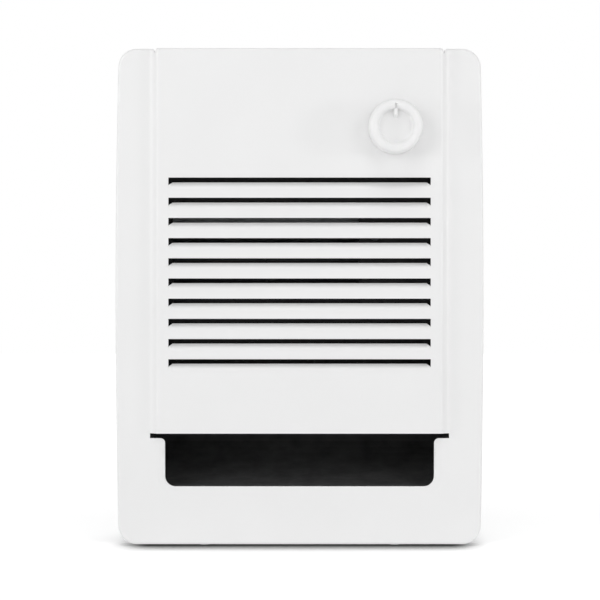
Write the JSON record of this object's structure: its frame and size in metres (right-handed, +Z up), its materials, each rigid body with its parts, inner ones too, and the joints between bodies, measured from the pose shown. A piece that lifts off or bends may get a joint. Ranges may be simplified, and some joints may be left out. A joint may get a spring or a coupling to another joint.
{
  "type": "bathroom wall fan heater",
  "caption": "Recessed wall fan heater: louvred white steel grille with thermostat knob and lower outlet over a galvanised box with blower and finned element.",
  "frame": {"origin": "middle of the front plate, in the plane of the wall's surface, which the grille's rim rests on", "axes": "+X to the right seen from the room, +Y into the wall, +Z up; the front faces -Y"},
  "size_m": [0.269, 0.1411, 0.3632],
  "materials": {
    "grille_paint": "satin white powder coat",
    "knob_plastic": "fine satin moulded plastic",
    "galvanised": "galvanised sheet with a soft spangle",
    "plate_steel": "dull zinc-coated sheet",
    "zinc": "bright zinc plate",
    "white_screw": "painted screw head",
    "green_screw": "green dyed zinc",
    "black_paint": "matt black high-temperature paint",
    "deck_black": "flat black dip coat",
    "wheel_dark": "dark anodised",
    "brass": "stamped brass",
    "bronze": "oil-soaked sintered bronze",
    "copper": "enamelled copper",
    "steel": "ground steel",
    "core_steel": "stacked laminations",
    "alloy": "die-cast alloy",
    "fin_alloy": "thin rolled aluminium",
    "sheath": "heat-darkened steel tube",
    "ceramic": "glazed ceramic",
    "phenolic": "moulded phenolic",
    "nylon": "natural nylon",
    "black_rubber": "soft moulded rubber",
    "black_steel": "blackened steel",
    "wire_black": "wire insulation",
    "wire_red": "wire insulation",
    "wire_white": "wire insulation",
    "wire_green": "wire insulation"
  },
  "bodies": {
    "heater": {"front_grille": "grille_paint", "grille_hooks": "zinc", "grille_screws": "white_screw", "thermostat_body": "phenolic", "thermostat_bush": "brass", "thermostat_nut": "zinc", "thermostat_blades": "brass", "thermostat_terminals": "brass", "wall_box": "galvanised", "box_top": "galvanised", "box_bottom": "galvanised", "ground_screw": "green_screw", "chassis": "deck_black", "chassis_screws": "black_steel", "terminal_block": "nylon", "terminal_screws": "brass", "left_end_plate": "plate_steel", "right_end_plate": "plate_steel", "end_plate_screws": "black_steel", "rear_guide": "plate_steel", "vortex_tongue": "plate_steel", "outlet_shelf": "black_paint", "outlet_deflector": "black_paint", "deflector_cheeks": "black_paint", "deflector_feet": "black_paint", "deflector_screws": "black_steel", "bearing_bush": "bronze", "bearing_rubber": "black_rubber", "motor_core": "core_steel", "motor_bobbin": "nylon", "motor_winding": "copper", "shading_rings": "copper", "motor_brackets": "alloy", "motor_bearings": "bronze", "motor_spacers": "black_rubber", "motor_bolts": "zinc", "element_tube": "sheath", "element_fins": "fin_alloy", "element_insulators": "ceramic", "element_pins": "steel", "element_bracket": "zinc", "limit_switch": "phenolic", "limit_cup": "alloy", "limit_screws": "zinc", "line_wire": "wire_black", "load_wire": "wire_red", "element_wire": "wire_red", "neutral_wire": "wire_white", "motor_wire": "wire_black", "ground_wire": "wire_green"},
    "knob": {"knob": "knob_plastic", "knob_clip": "zinc", "thermostat_shaft": "steel", "thermostat_cam": "nylon"},
    "blower": {"blower_wheel": "wheel_dark", "wheel_hub": "alloy", "hub_screw": "black_steel", "stub_shaft": "steel", "motor_rotor": "core_steel", "motor_shaft": "steel"}
  },
  "joints": [
    {"name": "knob_turn", "type": "hinge", "parent": "heater", "child": "knob", "pos_m": [0.0695, -0.03, 0.123], "axis": [0, 1, 0], "range_deg": [-135, 135]},
    {"name": "blower_spin", "type": "hinge", "parent": "heater", "child": "blower", "pos_m": [0, 0.044, 0.008], "axis": [1, 0, 0], "continuous": true}
  ]
}
